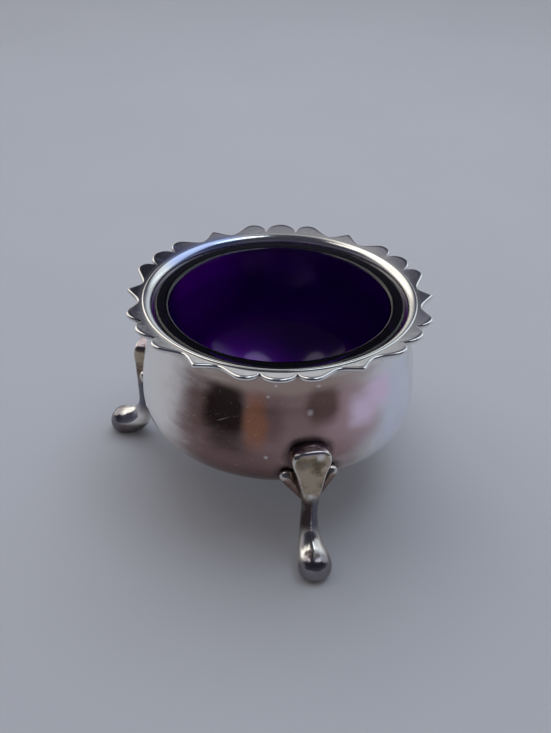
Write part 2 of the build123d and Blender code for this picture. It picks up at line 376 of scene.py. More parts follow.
# %% [markdown]
# ## The glass liner
#
# The liner is thick pressed glass with a round bottom that was ground flat in the middle, so that it stands. Its wall
# is drawn like the bowl's: a large arc under the bottom, a smaller bend, and a side that widens a little towards the
# mouth. The centre of the bend lies a bend's radius inside the side and one crown less one bend from the crown's
# centre, which is where a line meets a circle. The rim is left square by the pen, and a bevel then rounds its outer
# and inner edges, as a glass cutter would polish them.

# %% Liner sizes
LINER_WALL = 3.1
LINER_DRAFT = 0.8        # how much narrower the side is at its foot
LINER_CROWN = 30.0       # radius of the rounded bottom
LINER_BEND = 9.0
LINER_BASE = 7.0         # radius of the ground flat
OUTER_ROUND = 0.7        # rounding of the rim's outer edge
INNER_ROUND = 0.8
LINER_STEPS = 192
ROUND_SEGMENTS = 8

liner_floor, liner_top = liner_low.z, liner_high.z
crown_height = liner_floor + math.sqrt(LINER_CROWN**2 - LINER_BASE**2)
print(f"liner from {liner_floor:.2f} to {liner_top:.2f} mm, crown centre at {crown_height:.2f}")


# %% Liner
def bend_centre(foot, top, crown, bend):
    """Where the bend's centre lies between a crowned bottom and a leaning side, and the side's lean."""
    corner = Vector((foot, crown_height - math.sqrt(crown**2 - foot**2)))
    side = Vector((top, liner_top)) - corner
    upward = side.normalized()
    near = corner + bend * Vector((-upward.y, upward.x)) - Vector((0, crown_height))
    across = near.dot(upward)
    climb = -across - math.sqrt(across**2 - near.length_squared + (crown - bend) ** 2)
    centre = near + climb * upward + Vector((0, crown_height))
    return centre, math.degrees(math.atan2(upward.x, upward.y))


def liner_section():
    """Outside from the ground flat to the rim, then the inside back down to the axis."""
    foot, crown_centre = liner_radius - LINER_DRAFT, (0, crown_height)
    outer_bend, lean = bend_centre(foot, liner_radius, LINER_CROWN, LINER_BEND)
    inner_crown, inner_round = LINER_CROWN - LINER_WALL, LINER_BEND - LINER_WALL
    inner_bend, inner_lean = bend_centre(
        foot - LINER_WALL, liner_radius - LINER_WALL, inner_crown, inner_round)
    pen = Section(0, liner_floor)
    pen.line(LINER_BASE, liner_floor)
    pen.arc(crown_centre, direction(crown_centre, outer_bend))
    pen.arc(outer_bend, -lean)
    pen.line(liner_radius, liner_top)
    pen.line(liner_radius - LINER_WALL, liner_top)
    pen.line(*along(inner_bend, -inner_lean, inner_round))
    pen.arc(inner_bend, direction(crown_centre, inner_bend))
    pen.arc(crown_centre, -90)
    return pen


def round_rim(bm, radius, rounding):
    """Round the rim's edge that lies at a radius."""
    def on_edge(vertex):
        return abs(vertex.co.z - liner_top) < MM and abs(math.hypot(vertex.co.x, vertex.co.y) - radius) < MM
    edges = [edge for edge in bm.edges if all(on_edge(vertex) for vertex in edge.verts)]
    bmesh.ops.bevel(bm, geom=edges, offset=rounding, offset_type="OFFSET", affect="EDGES",
                    segments=ROUND_SEGMENTS, profile=0.5, material=-1, clamp_overlap=False)


liner_form = liner_section().turned(LINER_STEPS)
round_rim(liner_form, liner_radius, OUTER_ROUND)
round_rim(liner_form, liner_radius - LINER_WALL, INNER_ROUND)
liner = add_piece(liner_form, "cobalt_liner", "glass_liner", "liner")

# %% [markdown]
# ## The cast legs
#
# Each leg was cast in sand, filed and soldered on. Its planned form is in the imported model: a round knuckle with a
# filed flat face, two ears that spread it on the bowl, a slim shank and a pad foot. What the plan lacks is the touch
# of the hand: a keel that runs down the shank onto the foot, and the softness of a casting that was polished for a
# lifetime. A copy of the node is merged, remeshed into even voxels and smoothed, which melts the ears into the
# knuckle and rounds every edge, and between two rounds of smoothing the keel is drawn up, as with a sculpting brush.
# The node itself stays as it is and is only hidden.

# %% Leg sizes
VOXEL = 0.15             # size of one voxel of the remeshed skin
LEGS = {"leg_front": "sole_front", "leg_left": "sole_left", "leg_back": "sole_back"}
FIRST_SOFTENING = 5      # rounds of smoothing before the brush strokes
LAST_SOFTENING = 4
SOFTENING = 0.5          # how far one round moves a vertex towards the middle of its neighbours
END_SOFTENING = 30       # more rounds on the knuckle's dome and the tip of the toe, which end flat in the plan
DOME_START = 25.8        # height where the dome starts
TIP_START = 38.6         # distance from the axis where the tip starts
KEEL_RISE = 0.5
KEEL_TOP = 17.0          # height where the keel runs out under the knuckle's face
KEEL_FULL = 13.0         # height below which it is at its full rise
KEEL_END = 38.5          # distance from the axis where it runs out on the foot
KEEL_FADE = 3.0
KEEL_WIDTH = 2.1         # half the width that the keel is spread over
KEEL_AIM = Vector((0.8, 0, 0.6))     # where the keel faces, with the leg along +X
KEEL_FACING = 0.5        # how well a place has to face there to be drawn up in full

mounts = {mount["name"]: Vector(mount["pos_m"]) / MM - axis for mount in frame["record"]["mounts"]}
print("feet at", {name: round(math.degrees(math.atan2(sole.y, sole.x)), 1) for name, sole in mounts.items()})


# %% Brush strokes
def fade(value, zero, one):
    """From 0 to 1 between two values, smooth at both ends."""
    share = min(1, max(0, (value - zero) / (one - zero)))
    return share * share * (3 - 2 * share)


def press_keel(bm):
    """Raise a soft ridge along the front of the shank and the top of the foot."""
    for vertex in bm.verts:
        spread = 1 - abs(vertex.co.y) / KEEL_WIDTH
        facing = vertex.normal.dot(KEEL_AIM)
        if spread > 0 and facing > 0:
            strength = fade(vertex.co.z, KEEL_TOP, KEEL_FULL) * fade(vertex.co.x, KEEL_END, KEEL_END - KEEL_FADE)
            vertex.co += vertex.normal * (KEEL_RISE * spread * strength * fade(facing, 0, KEEL_FACING))


# %% Legs
def even_skin(bm):
    """Remesh a closed bmesh into a skin of even voxels."""
    mesh = bpy.data.meshes.new("rough_casting")
    bm.to_mesh(mesh)
    rough = bpy.data.objects.new("rough_casting", mesh)
    bpy.context.scene.collection.objects.link(rough)
    skin = rough.modifiers.new("skin", "REMESH")
    skin.mode = "VOXEL"
    skin.voxel_size = VOXEL
    cast = bpy.data.meshes.new_from_object(rough.evaluated_get(bpy.context.evaluated_depsgraph_get()))
    bpy.data.objects.remove(rough)
    bm.clear()
    bm.from_mesh(cast)


def soften(bm, verts, rounds):
    """Smooth a part of a skin a few times."""
    for _ in range(rounds):
        bmesh.ops.smooth_vert(bm, verts=verts, factor=SOFTENING, use_axis_x=True, use_axis_y=True, use_axis_z=True)
    bm.normal_update()


def cast_leg(node, sole):
    """A soft casting from a merged copy of a leg's node, in millimetres round the bowl's axis."""
    turn = math.atan2(sole.y, sole.x)
    bm = bmesh.new()
    bm.from_mesh(frame["nodes"][node].data)
    bmesh.ops.scale(bm, verts=bm.verts, vec=(1 / MM, 1 / MM, 1 / MM))
    bmesh.ops.translate(bm, verts=bm.verts, vec=-axis)
    bmesh.ops.rotate(bm, verts=bm.verts, cent=(0, 0, 0), matrix=Matrix.Rotation(-turn, 3, "Z"))
    bmesh.ops.remove_doubles(bm, verts=bm.verts, dist=MM)
    even_skin(bm)
    soften(bm, bm.verts, FIRST_SOFTENING)
    ends = [vertex for vertex in bm.verts if vertex.co.z > DOME_START or vertex.co.x > TIP_START]
    soften(bm, ends, END_SOFTENING)
    press_keel(bm)
    soften(bm, bm.verts, LAST_SOFTENING)
    side = bm.verts.layers.float.new("side")
    for vertex in bm.verts:
        vertex[side] = vertex.co.y
    bmesh.ops.rotate(bm, verts=bm.verts, cent=(0, 0, 0), matrix=Matrix.Rotation(turn, 3, "Z"))
    return bm


legs = []
for node, mount in LEGS.items():
    leg_form = cast_leg(node, mounts[mount])
    legs.append(add_piece(leg_form, "cast_" + node, node, "cellar", crease=180))

# %% [markdown]
# ## Where dirt and painted shade stay and where polish wears
#
# Tarnish stays where a cloth can't reach, beside a soldered joint, and wears off where a cloth rubs, on every proud
# edge. A shader can't know either, so both are measured here and stored on the vertices. The recess is how near a
# vertex lies to its neighbouring piece. The wear is how tightly the surface bends there, from how far the vertex
# stands out from its neighbours, and below zero it tells a crease. The bowl's inside is marked as well, because
# nobody ever polished it. The dark tone that the finishes lay beside a joint and in a crease is partly that tarnish
# and partly painted shade, for the shade that the pieces cast on one another.

# %% Recess and wear
BOWL_REACH = 2.8         # how far the dirt and painted shade spread from a joint, on the bowl, the border and the legs
BORDER_REACH = 1.6
LEG_REACH = 1.5
WEAR_RADIUS = 0.6        # radius of an edge that is worn all over
EDGE_SHARE = 4           # turns how far a vertex stands out into one over the radius of a round edge
INSIDE_MIDDLE = 27.0     # height of a point that all of the bowl's inside looks at


def mark_recess(piece, neighbours, reach):
    """Store how near each vertex is to a neighbouring piece, from 0 far off to 1 at the joint."""
    trees = []
    for neighbour in neighbours:
        bm = bmesh.new()
        bm.from_mesh(neighbour.data)
        trees.append(BVHTree.FromBMesh(bm))
        bm.free()
    layer = piece.data.attributes.new("recess", "FLOAT", "POINT")
    for vertex, store in zip(piece.data.vertices, layer.data):
        gaps = [tree.find_nearest(vertex.co, reach * MM)[3] for tree in trees]
        nearest = min((gap for gap in gaps if gap is not None), default=reach * MM)
        store.value = 1 - nearest / (reach * MM)


def mark_wear(piece):
    """Store how sharply each vertex stands out of its neighbours, from -1 in a crease to 1 on an edge."""
    bm = bmesh.new()
    bm.from_mesh(piece.data)
    around = {vertex: [edge.other_vert(vertex) for edge in vertex.link_edges] for vertex in bm.verts}
    proud = {}
    for vertex, others in around.items():
        apart = [vertex.co - other.co for other in others]
        bend = EDGE_SHARE * sum(apart, Vector()).dot(vertex.normal) / sum(gap.length_squared for gap in apart)
        proud[vertex] = min(1, max(-1, bend * WEAR_RADIUS * MM))
    layer = piece.data.attributes.new("wear", "FLOAT", "POINT")
    for vertex, store in zip(bm.verts, layer.data):
        store.value = (proud[vertex] + sum(proud[other] for other in around[vertex])) / (1 + len(around[vertex]))
    bm.free()


def mark_inside(piece):
    """Store 1 on the vertices of a round shell that look in at its middle."""
    middle = (axis + Vector((0, 0, INSIDE_MIDDLE))) * MM
    layer = piece.data.attributes.new("inside", "FLOAT", "POINT")
    for vertex, store in zip(piece.data.vertices, layer.data):
        store.value = 1.0 if vertex.normal.dot(vertex.co - middle) < 0 else 0.0


mark_inside(bowl)
mark_recess(bowl, legs, BOWL_REACH)
mark_recess(border, [bowl], BORDER_REACH)
for leg in legs:
    mark_recess(leg, [bowl], LEG_REACH)
for piece in [bowl, border] + legs:
    mark_wear(piece)
print("recess and wear stored on", 2 + len(legs), "pieces")

# %% [markdown]
# ## Writing shaders as expressions
#
# A finish is mostly arithmetic on patterns, and arithmetic reads better as an expression than as a drawing of nodes.
# The class below wraps one socket. Its operators add Math nodes, also with a number on the left, and its `node`
# method adds any other kind of node: the settings first, because they can change the sockets, then values and links.

# %% Signals
class Signal:
    """One output of a node, with operators for shader maths."""

    def __init__(self, tree, socket=None):
        self.tree = tree
        self.socket = socket

    def node(self, kind, settings=None, sockets=None, output=0):
        """Add a node and give back one of its outputs."""
        made = self.tree.nodes.new("ShaderNode" + kind)
        for name, value in (settings or {}).items():
            setattr(made, name, value)
        for name, value in (sockets or {}).items():
            if isinstance(value, Signal):
                self.tree.links.new(value.socket, made.inputs[name])
            else:
                made.inputs[name].default_value = value
        return Signal(self.tree, made.outputs[output] if made.outputs else None)

    def math(self, operation, *values):
        """A Math node on the values given, in this signal's tree."""
        return self.node("Math", {"operation": operation}, dict(enumerate(values)))

    def __add__(self, other):
        return self.math("ADD", self, other)

    def __sub__(self, other):
        return self.math("SUBTRACT", self, other)

    def __rsub__(self, other):
        return self.math("SUBTRACT", other, self)

    def __mul__(self, other):
        return self.math("MULTIPLY", self, other)

    def __truediv__(self, other):
        return self.math("DIVIDE", self, other)

    def __pow__(self, other):
        return self.math("POWER", self, other)

    def __abs__(self):
        return self.math("ABSOLUTE", self)

    __radd__ = __add__
    __rmul__ = __mul__


def new_material(name):
    """An empty material and a signal to start its nodes from."""
    material = bpy.data.materials.new(name)
    material.use_nodes = True
    material.node_tree.nodes.clear()
    return material, Signal(material.node_tree)


def shade(piece, material):
    """Give a piece its only material."""
    piece.data.materials.clear()
    piece.data.materials.append(material)


# %% [markdown]
# ## Patterns that the finishes share
#
# Every pattern is laid out in millimetres round the bowl's axis, so that a size in a shader means the same as a size
# in the model. Blotches are plain noise. Scratches are noise that is stretched along one direction and cut down to a
# narrow range, which leaves thin lines. Pits are the centres of scattered cells.

# %% Patterns
SCRATCH_RANGE = (0.7, 0.78)      # the narrow range of the noise that shows as lines
PIT_CORE = 0.4                   # share of a pit that is at its full depth


def point_in_mm(graph):
    """The place on the piece, in millimetres from the foot of the bowl's axis."""
    place = graph.node("TexCoord", output="Object")
    place = graph.node("VectorMath", {"operation": "SUBTRACT"}, {0: place, 1: axis * MM})
    return graph.node("VectorMath", {"operation": "SCALE"}, {0: place, "Scale": 1 / MM})


def blotches(point, size, seed=0.0, detail=3.0, rough=0.55):
    """Noise whose blotches have a size in millimetres."""
    return point.node("TexNoise", {"noise_dimensions": "4D"}, {
        "Vector": point, "W": seed, "Scale": 1 / size, "Detail": detail, "Roughness": rough})


def ramp(value, low, high):
    """From 0 at the low value to 1 at the high one, smooth at both ends."""
    return value.node("MapRange", {"interpolation_type": "SMOOTHSTEP"}, {
        "Value": value, "From Min": low, "From Max": high})


def tint(first, second, share):
    """Mix two colours."""
    return share.node("Mix", {"data_type": "RGBA"}, {0: share, 6: first, 7: second}, output=2)


def scratches(point, length, width, turn, seed):
    """Thin straight lines of a length, turned about the vertical and tilted with it."""
    laid = point.node("Mapping", None, {"Vector": point, "Rotation": turn})
    stretched = point.node("VectorMath", {"operation": "MULTIPLY"}, {
        0: laid, 1: (1 / length, 1 / width, 1 / width)})
    lines = point.node("TexNoise", {"noise_dimensions": "4D"}, {
        "Vector": stretched, "W": seed, "Scale": 1.0, "Detail": 1.0})
    return ramp(lines, *SCRATCH_RANGE)


def pits(point, spacing, size):
    """Small round pits, about one in a cell of the spacing."""
    cells = point.node("TexVoronoi", None, {"Vector": point, "Scale": 1 / spacing})
    return 1 - ramp(cells, PIT_CORE * size / spacing, size / spacing)


# %% [markdown]
# ## Tarnished silver
#
# Silver tones as it tarnishes, first straw yellow, then brown, violet and nearly black. All three silver finishes are
# one function: polished metal, a straw and brown film in blotches, dark dirt and painted shade in the recesses and
# creases, bright worn edges, fine scratches and pits. Metal has no colour but that of its reflection, so the film
# darkens the base colour and makes the surface duller. Each finish below then adds what only its own piece has, and
# much of that is painted light.

# %% Tarnish
POLISHED = (0.96, 0.935, 0.89, 1.0)
STRAW = (0.62, 0.53, 0.44, 1.0)
BROWN = (0.36, 0.27, 0.24, 1.0)
# dark dirt, also laid as painted shade in recesses and creases
SOOT_AND_SHADE = (0.06, 0.045, 0.045, 1.0)
DULL = (0.88, 0.86, 0.85, 1.0)
CLOUD_SIZE, FINE_SIZE = 14.0, 3.0                # large and small blotches of the film
STRAW_RANGE, BROWN_RANGE = (0.45, 0.75), (0.62, 0.95)    # film that starts to show, and that covers
DIRT_AND_SHADE_RANGE, CREASE_RANGE, WEAR_RANGE = (0.3, 1.0), (0.3, 0.8), (0.45, 1.0)
DIRT_AND_SHADE_FRAY = 0.4                                  # how much the small blotches fray the dirt and painted shade
SCORES = [(14.0, 0.3, (0.2, 0.5, 0.3), 1.0), (9.0, 0.22, (1.1, 0.2, 1.9), 5.0)]     # length, width, turn, seed
PIT_SPACING, PIT_SIZE = 4.5, 0.22
DIRT_AND_SHADE_COVER, WEAR_COVER, SCORE_COVER, PIT_COVER = 0.72, 0.7, 0.35, 0.5
RELIEF_DEPTH, RELIEF_STRENGTH = 0.05, 0.25
GRAIN_TURN = 0.25                                # a quarter turn, so that the grain runs round


def attribute(graph, name):
    """A number that is stored on the piece's vertices."""
    return graph.node("Attribute", {"attribute_name": name}, output="Fac")


def silver(name, film, extra=None, brushed=0.0):
    """A silver finish with a share of film, extra toning and painted light that takes and gives a colour, and a spun
    grain.
    """
    material, graph = new_material(name)
    point = point_in_mm(graph)
    recess, wear, inside = (attribute(graph, layer) for layer in ("recess", "wear", "inside"))
    cloud = blotches(point, CLOUD_SIZE, seed=3.0)
    fine = blotches(point, FINE_SIZE, seed=8.0, detail=5.0)
    straw = ramp(cloud * 0.7 + fine * 0.3 + film, *STRAW_RANGE)
    brown = ramp(cloud * 0.5 + fine * 0.5 + film, *BROWN_RANGE)
    first, second = (scratches(point, *score) for score in SCORES)
    scored = first + second
    colour = tint(tint(POLISHED, STRAW, straw), BROWN, brown)
    if extra:
        colour = extra(point, colour, fine)
    # dark tone beside a joint and in a crease: partly tarnish, partly painted shade
    dirt_and_shade = ramp(recess + (fine - 0.5) * DIRT_AND_SHADE_FRAY, *DIRT_AND_SHADE_RANGE) + ramp(0 - wear, *CREASE_RANGE)
    dirt_and_shade = dirt_and_shade.math("MINIMUM", dirt_and_shade, 1.0)
    colour = tint(colour, SOOT_AND_SHADE, dirt_and_shade * DIRT_AND_SHADE_COVER)
    colour = tint(colour, POLISHED, ramp(wear, *WEAR_RANGE) * WEAR_COVER * (1 - dirt_and_shade))
    colour = tint(colour, POLISHED, scored * SCORE_COVER)
    pitted = pits(point, PIT_SPACING, PIT_SIZE)
    colour = tint(tint(colour, SOOT_AND_SHADE, pitted * PIT_COVER), DULL, inside)
    roughness = 0.1 + 0.1 * straw + 0.08 * fine + 0.25 * dirt_and_shade + 0.05 * scored + 0.45 * inside
    relief = fine * 0.2 - pitted - scored * 0.15
    bump = graph.node("Bump", None, {
        "Strength": RELIEF_STRENGTH, "Distance": RELIEF_DEPTH * MM, "Height": relief})
    shader = graph.node("BsdfPrincipled", None, {
        "Base Color": colour, "Metallic": 1.0, "Roughness": roughness, "Normal": bump,
        "Anisotropic": brushed, "Anisotropic Rotation": GRAIN_TURN})
    graph.node("OutputMaterial", None, {"Surface": shader})
    print(name, "has", len(material.node_tree.nodes), "nodes")
    return material


# %% [markdown]
# ## The bowl's toning and painted reflections
#
# The bowl has patches of its own, and most of them are painted light. On the front and the sides they paint the
# reflections of the room: a bright window on the left limb, a dark shape and a warm streak left of the middle, pink
# and lilac highlights and a cool window on the right, a pale band under the neck and a few small glints. The broad
# darker patches over the front and low on the belly, and a band all round under the bowl, paint shade. Each patch is
# a soft spot at an angle round the bowl and at a height, in a colour of its own. They are listed one by one, and a
# noise that is stretched along the spinning marks frays their edges.

# %% Bowl finish
SMOKE = (0.025, 0.016, 0.014, 1.0)
UMBER = (0.17, 0.10, 0.09, 1.0)
AMBER = (0.40, 0.17, 0.09, 1.0)
MAROON = (0.22, 0.13, 0.125, 1.0)
ROSE = (0.36, 0.24, 0.23, 1.0)
FAWN = (0.50, 0.38, 0.32, 1.0)
PINK = (0.62, 0.42, 0.43, 1.0)
LILAC = (1.0, 0.80, 0.98, 1.0)
GLINT = (0.88, 0.82, 0.82, 1.0)
STEEL = (0.80, 0.86, 0.98, 1.0)
PEARL = (1.0, 0.955, 0.90, 1.0)
# The rows from the front to the sides paint reflections, highlights, glints and shade; the band at 13.5 mm paints
# shade under the bowl.
PAINTED_LIGHT_AND_TONING = [
    # colour, degrees round from the front, height, half width in degrees, half height, softness, strength
    (PEARL, -58.0, 31.0, 15.0, 11.0, 0.5, 0.9),
    (UMBER, 0.0, 13.5, 400.0, 3.0, 0.6, 0.8),
    (ROSE, -2.0, 29.0, 40.0, 13.0, 0.35, 1.0),
    (FAWN, 0.0, 40.0, 34.0, 2.6, 0.5, 0.9),
    (MAROON, -20.0, 20.0, 22.0, 5.5, 0.6, 0.75),
    (UMBER, -32.0, 31.5, 8.0, 6.5, 0.7, 0.8),
    (SMOKE, -21.5, 33.0, 9.0, 5.2, 0.36, 0.95),
    (SMOKE, -19.5, 27.5, 8.0, 3.2, 0.7, 0.7),
    (MAROON, -3.5, 31.8, 5.6, 4.6, 0.6, 0.85),
    (AMBER, -8.6, 31.5, 4.2, 5.4, 0.55, 0.85),
    (STEEL, 58.0, 27.0, 19.0, 12.0, 0.6, 0.75),
    (PINK, 32.0, 31.2, 12.0, 6.0, 0.6, 0.8),
    (UMBER, 18.0, 34.4, 6.5, 3.6, 0.4, 0.9),
    (LILAC, 36.0, 31.3, 6.0, 3.0, 0.6, 1.0),
    (LILAC, 45.0, 33.2, 7.0, 3.2, 0.6, 1.0),
    (ROSE, 150.0, 25.0, 40.0, 12.0, 0.6, 0.7),
    (UMBER, -160.0, 30.0, 10.0, 5.0, 0.4, 0.7),
    (AMBER, 172.0, 31.0, 4.0, 5.0, 0.5, 0.7),
    (STEEL, -110.0, 28.0, 14.0, 9.0, 0.6, 0.5),
    (GLINT, -0.9, 39.4, 0.5, 0.25, 0.7, 0.7),
    (GLINT, -3.9, 36.8, 0.6, 0.25, 0.7, 0.6),
    (GLINT, 12.7, 33.2, 1.0, 0.5, 0.7, 0.5),
    (GLINT, -4.1, 23.7, 0.6, 0.3, 0.7, 0.6),
    (GLINT, 16.1, 38.8, 0.8, 0.25, 0.7, 0.6),
]
GRAIN = (0.6, 0.6, 1.5)  # stretches the fraying noise along the spinning marks
FRAY_SIZE, FRAY = 5.0, 1.6
SQUARENESS = 3           # 2 would make the patches oval, and a large number square


def bowl_painted_light_and_toning(point, colour, fine):
    """Lay the patches of painted light and toning on the bowl, one over another."""
    x, y, z = (point.node("SeparateXYZ", None, {0: point}, output=name) for name in "XYZ")
    around = x.math("ARCTAN2", x, 0 - y) * math.degrees(1)
    stretched = point.node("VectorMath", {"operation": "MULTIPLY"}, {0: point, 1: GRAIN})
    frayed = (blotches(stretched, FRAY_SIZE, seed=20.0, detail=4.0) - 0.5) * FRAY
    for shade_of, angle, height, half_angle, half_height, softness, strength in PAINTED_LIGHT_AND_TONING:
        turned = around - angle + 540
        aside = turned.math("MODULO", turned, 360) - 180
        across, up = abs(aside / half_angle), abs((z - height) / half_height)
        far = (across**SQUARENESS + up**SQUARENESS) ** (1 / SQUARENESS)
        patch = 1 - ramp(far + frayed * softness, 1 - softness, 1 + softness)
        colour = tint(colour, shade_of, strength * patch)
    return colour


shade(bowl, silver("silver_sheet", 0.02, bowl_painted_light_and_toning, brushed=0.4))

# %% [markdown]
# ## The border's and the legs' toning and painted shade
#
# On the border a cloth only rides over the bead and the edge, so the flat between them grows duller with every step
# away from the bead; that dulling is partly wear and partly painted shade, and it is darkest on the left, which is
# painted shade only. At the back left the border has a painted blue reflection of the cool window. On the legs the
# olive film and its darker stains are tarnish, while the dark shank, darker on one side, the dark webs under the
# ears, the dark dome of the knuckle, the dark toe and the dark underside of the left foot are painted shade and
# painted reflections, and a bright place on the face is a painted glint. The bands below are pairs: where a tone
# starts to show, and where it is at its full.

# %% Border and leg finishes
PEWTER = (0.78, 0.755, 0.76, 1.0)
LEAD = (0.30, 0.29, 0.31, 1.0)
AZURE = (0.58, 0.66, 1.0, 1.0)
OLIVE = (0.50, 0.41, 0.30, 1.0)
SEPIA = (0.15, 0.12, 0.075, 1.0)
SLATE = (0.18, 0.18, 0.22, 1.0)
DUSK = (0.50, 0.43, 0.51, 1.0)
UMBRA = (0.21, 0.185, 0.21, 1.0)
PEAT = (0.08, 0.055, 0.055, 1.0)
DULL_RUN = 1.4           # how far past the bead the flat is dull all over
DULL_BAND, LEFT_SHADE_BAND = (0.25, 0.5), (0.55, 0.9)
BLUE_REFLECTION_AIM, BLUE_REFLECTION_BAND = (-0.66, 0.75), (0.88, 0.98)      # where round the bowl the border has a painted blue reflection
FOOT_TOP, SHANK_FOOT, SHANK_TOP = (6.0, 12.0), (5.5, 9.5), (14.5, 17.5)      # heights on a leg
SOLE_TOP, TAIL_TOP, DOME_FOOT = (3.0, 4.4), (18.5, 21.5), (25.9, 26.6)
TAIL_BAND, KEEL_BAND = (1.5, 2.3), (-0.3, 0.6)           # distances aside of a leg's middle
TOE_BAND = (36.6, 38.4)  # distances from the axis
LEFT_BAND = (-32.0, -28.0)       # only a foot to the left of here gets painted shade underneath
MOTTLE_SIZE, MOTTLE_BAND, OLIVE_BAND = 3.2, (0.5, 0.68), (0.2, 0.45)
SPOT_EDGE_BAND = (0.1, 1.1)
SPOTS = [                # stains and a painted glint on a leg's face: colour, aside, height, radius
    (SEPIA, -2.0, 24.6, 1.9), (SEPIA, 0.3, 24.9, 1.3), (SEPIA, 1.0, 23.4, 1.0), (POLISHED, 1.6, 25.9, 1.1)]


def border_toning(point, colour, fine):
    """Dull the flat between the bead and the edge, partly as wear and partly as painted shade, darkest on the left,
    and paint a blue reflection on the border at the back left.
    """
    x, y = (point.node("SeparateXYZ", None, {0: point}, output=name) for name in "XY")
    radius = (x * x + y * y) ** 0.5
    flat = ramp(radius, mouth + BEAD_WIDTH - BEAD_SHOULDER, mouth + BEAD_WIDTH + DULL_RUN)
    # painted shade: the dull flat is darker towards the left
    dull_and_left_shade = tint(PEWTER, LEAD, ramp(0 - x / radius, *LEFT_SHADE_BAND))
    # painted reflection of the cool window, blue at the back left
    colour = tint(colour, AZURE, ramp((x * BLUE_REFLECTION_AIM[0] + y * BLUE_REFLECTION_AIM[1]) / radius, *BLUE_REFLECTION_BAND))
    # the flat dulled away from the bead, partly wear and partly painted shade
    return tint(colour, dull_and_left_shade, flat * ramp(fine, *DULL_BAND))


def leg_toning(point, colour, fine):
    """Tone a leg olive with stains, and paint shade and dark reflections on the dome, the ears' tails, the shank, one
    side of it most, the left foot's sole and the toe.
    """
    x, y, z = (point.node("SeparateXYZ", None, {0: point}, output=name) for name in "XYZ")
    side = attribute(point, "side")
    above_foot = ramp(z, *FOOT_TOP)
    above_ankle = ramp(z, *SHANK_FOOT)
    shank_shade = above_ankle * (1 - ramp(z, *SHANK_TOP))
    tail_shade = above_ankle * (1 - ramp(z, *TAIL_TOP)) * ramp(abs(side), *TAIL_BAND)
    sole = (1 - ramp(z, *SOLE_TOP)) * (1 - ramp(x, *LEFT_BAND))
    toe_shade = ramp((x * x + y * y) ** 0.5, *TOE_BAND)
    mottled = ramp(blotches(point, MOTTLE_SIZE, seed=31.0), *MOTTLE_BAND)
    colour = tint(colour, OLIVE, ramp(fine, *OLIVE_BAND) * above_foot)
    colour = tint(colour, SEPIA, 0.8 * mottled * above_foot)
    # painted shade and reflection: the shank is dark, darkest on one side
    colour = tint(colour, tint(PEAT, SLATE, ramp(side, *KEEL_BAND)), shank_shade)
    # painted shade on the webs under the ears
    colour = tint(colour, UMBER, 0.85 * tail_shade)
    # painted shade under the left foot
    colour = tint(colour, PEAT, 0.85 * sole)
    # stains, and a painted glint where the colour is POLISHED
    for spot_colour, aside, height, radius in SPOTS:
        far = ((side - aside) ** 2 + (z - height) ** 2) ** 0.5 / radius
        colour = tint(colour, spot_colour, 0.75 * (1 - ramp(far + (fine - 0.5) * 2, *SPOT_EDGE_BAND)))
    # painted dark reflection on the knuckle's dome
    colour = tint(colour, DUSK, 0.7 * ramp(z, *DOME_FOOT))
    # painted dark reflection on the toe
    return tint(colour, UMBRA, 0.85 * toe_shade)


shade(border, silver("silver_border", -0.12, border_toning))
casting = silver("silver_casting", 0.04, leg_toning)
for leg in legs:
    shade(leg, casting)

# %% [markdown]
# ## Cobalt glass
#
# A little cobalt turns glass blue, and a thick wall of it looks violet and nearly black, because light crosses it
# twice on its way off the silver behind. The shader is clear glass with a deep tint, paler in two places that paint
# the brighter violet glow of the light that comes through the wall. Its surface isn't perfect either: pressed glass
# is faintly wavy, and the rim and floor are hazed by years of salt and spoons.

# %% Liner finish
COBALT = (0.57, 0.008, 1.0, 1.0)
INK = (0.18, 0.006, 0.42, 1.0)
GLOW_PLACES = [                 # places of painted violet glow in the tint: middle and radius
    (Vector((-7, 10, 18)), 16.0), (Vector((-16, 14, 37)), 15.0)]
GLOW_CORE = 0.3          # share of such a place that is palest
WAVE_SIZE, HAZE_SIZE, HAZE_BAND = 8.0, 1.2, (0.5, 0.8)
SALT_BAND = (17.0, 26.0)         # heights between which the haze of the salt ends
WAVE_DEPTH, WAVE_STRENGTH = 0.1, 0.15
GLASS_INDEX = 1.5


def cobalt_glass():
    """Deep blue glass, faintly wavy and hazed, with a painted glow in two places."""
    material, graph = new_material("cobalt_glass")
    point = point_in_mm(graph)
    streaks = blotches(point, WAVE_SIZE, seed=40.0)
    haze = ramp(blotches(point, HAZE_SIZE, seed=44.0, detail=5.0), *HAZE_BAND)
    salted = 1 - ramp(graph.node("SeparateXYZ", None, {0: point}, output="Z"), *SALT_BAND)
    # a paler tint along the streaks, and a painted glow in the two places
    streaks_and_glow = streaks * 0.3
    for middle, radius in GLOW_PLACES:
        far = graph.node("VectorMath", {"operation": "DISTANCE"}, {0: point, 1: middle}, output="Value")
        streaks_and_glow = streaks_and_glow + 1 - ramp(far, GLOW_CORE * radius, radius)
    streaks_and_glow = streaks_and_glow.math("MINIMUM", streaks_and_glow, 1.0)
    bump = graph.node("Bump", None, {
        "Strength": WAVE_STRENGTH, "Distance": WAVE_DEPTH * MM, "Height": streaks})
    shader = graph.node("BsdfPrincipled", None, {
        "Base Color": tint(INK, COBALT, streaks_and_glow), "Roughness": 0.02 + 0.05 * haze + 0.11 * salted,
        "IOR": GLASS_INDEX, "Transmission Weight": 1.0, "Normal": bump})
    graph.node("OutputMaterial", None, {"Surface": shader})
    return material


shade(liner, cobalt_glass())
print("glass on", liner.name)

